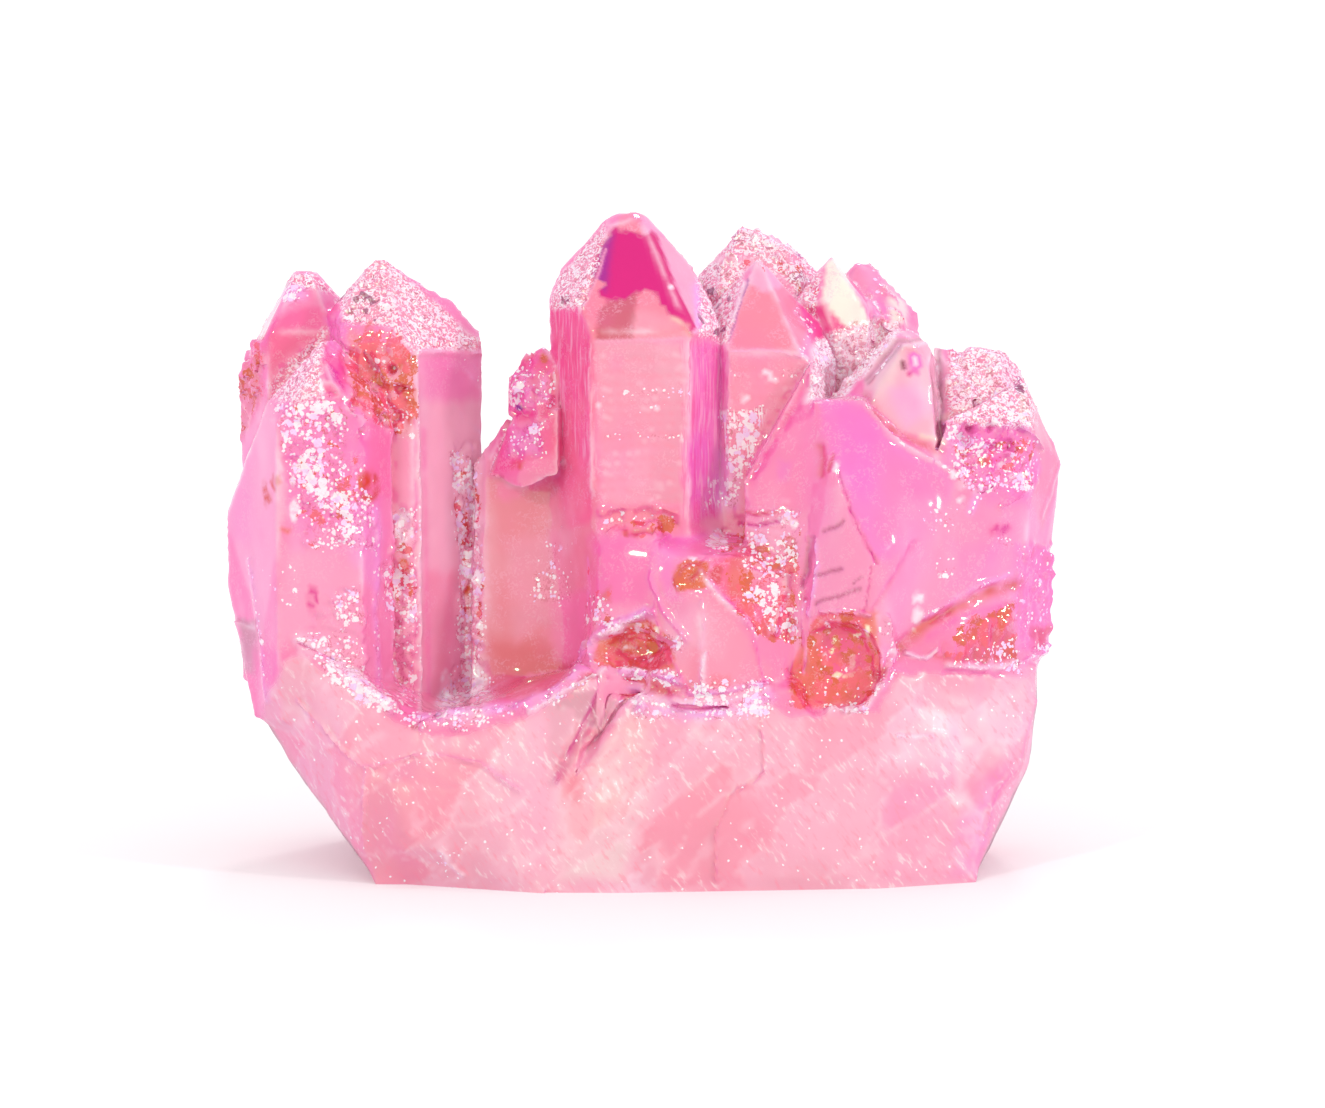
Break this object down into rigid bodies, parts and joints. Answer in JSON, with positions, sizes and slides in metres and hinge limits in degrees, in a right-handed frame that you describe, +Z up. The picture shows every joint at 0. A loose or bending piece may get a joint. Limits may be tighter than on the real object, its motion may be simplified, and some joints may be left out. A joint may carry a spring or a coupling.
{
  "type": "pink quartz crystal cluster",
  "caption": "Cluster of translucent pink quartz crystals with an iridescent coat, grown together on a block of milky quartz with a flat underside.",
  "frame": {"origin": "middle of the cluster's box, on the surface that it rests on", "axes": "+X to the right of the front view, along the row of crystals; +Y to the back; +Z up, along the crystals"},
  "size_m": [0.0698, 0.0348, 0.0544],
  "materials": {
    "quartz": "translucent pink quartz, glossy on the flat faces and grainy on the tips, with a thin iridescent coat"
  },
  "bodies": {
    "root": {"quartz_cluster": "quartz"}
  },
  "joints": []
}
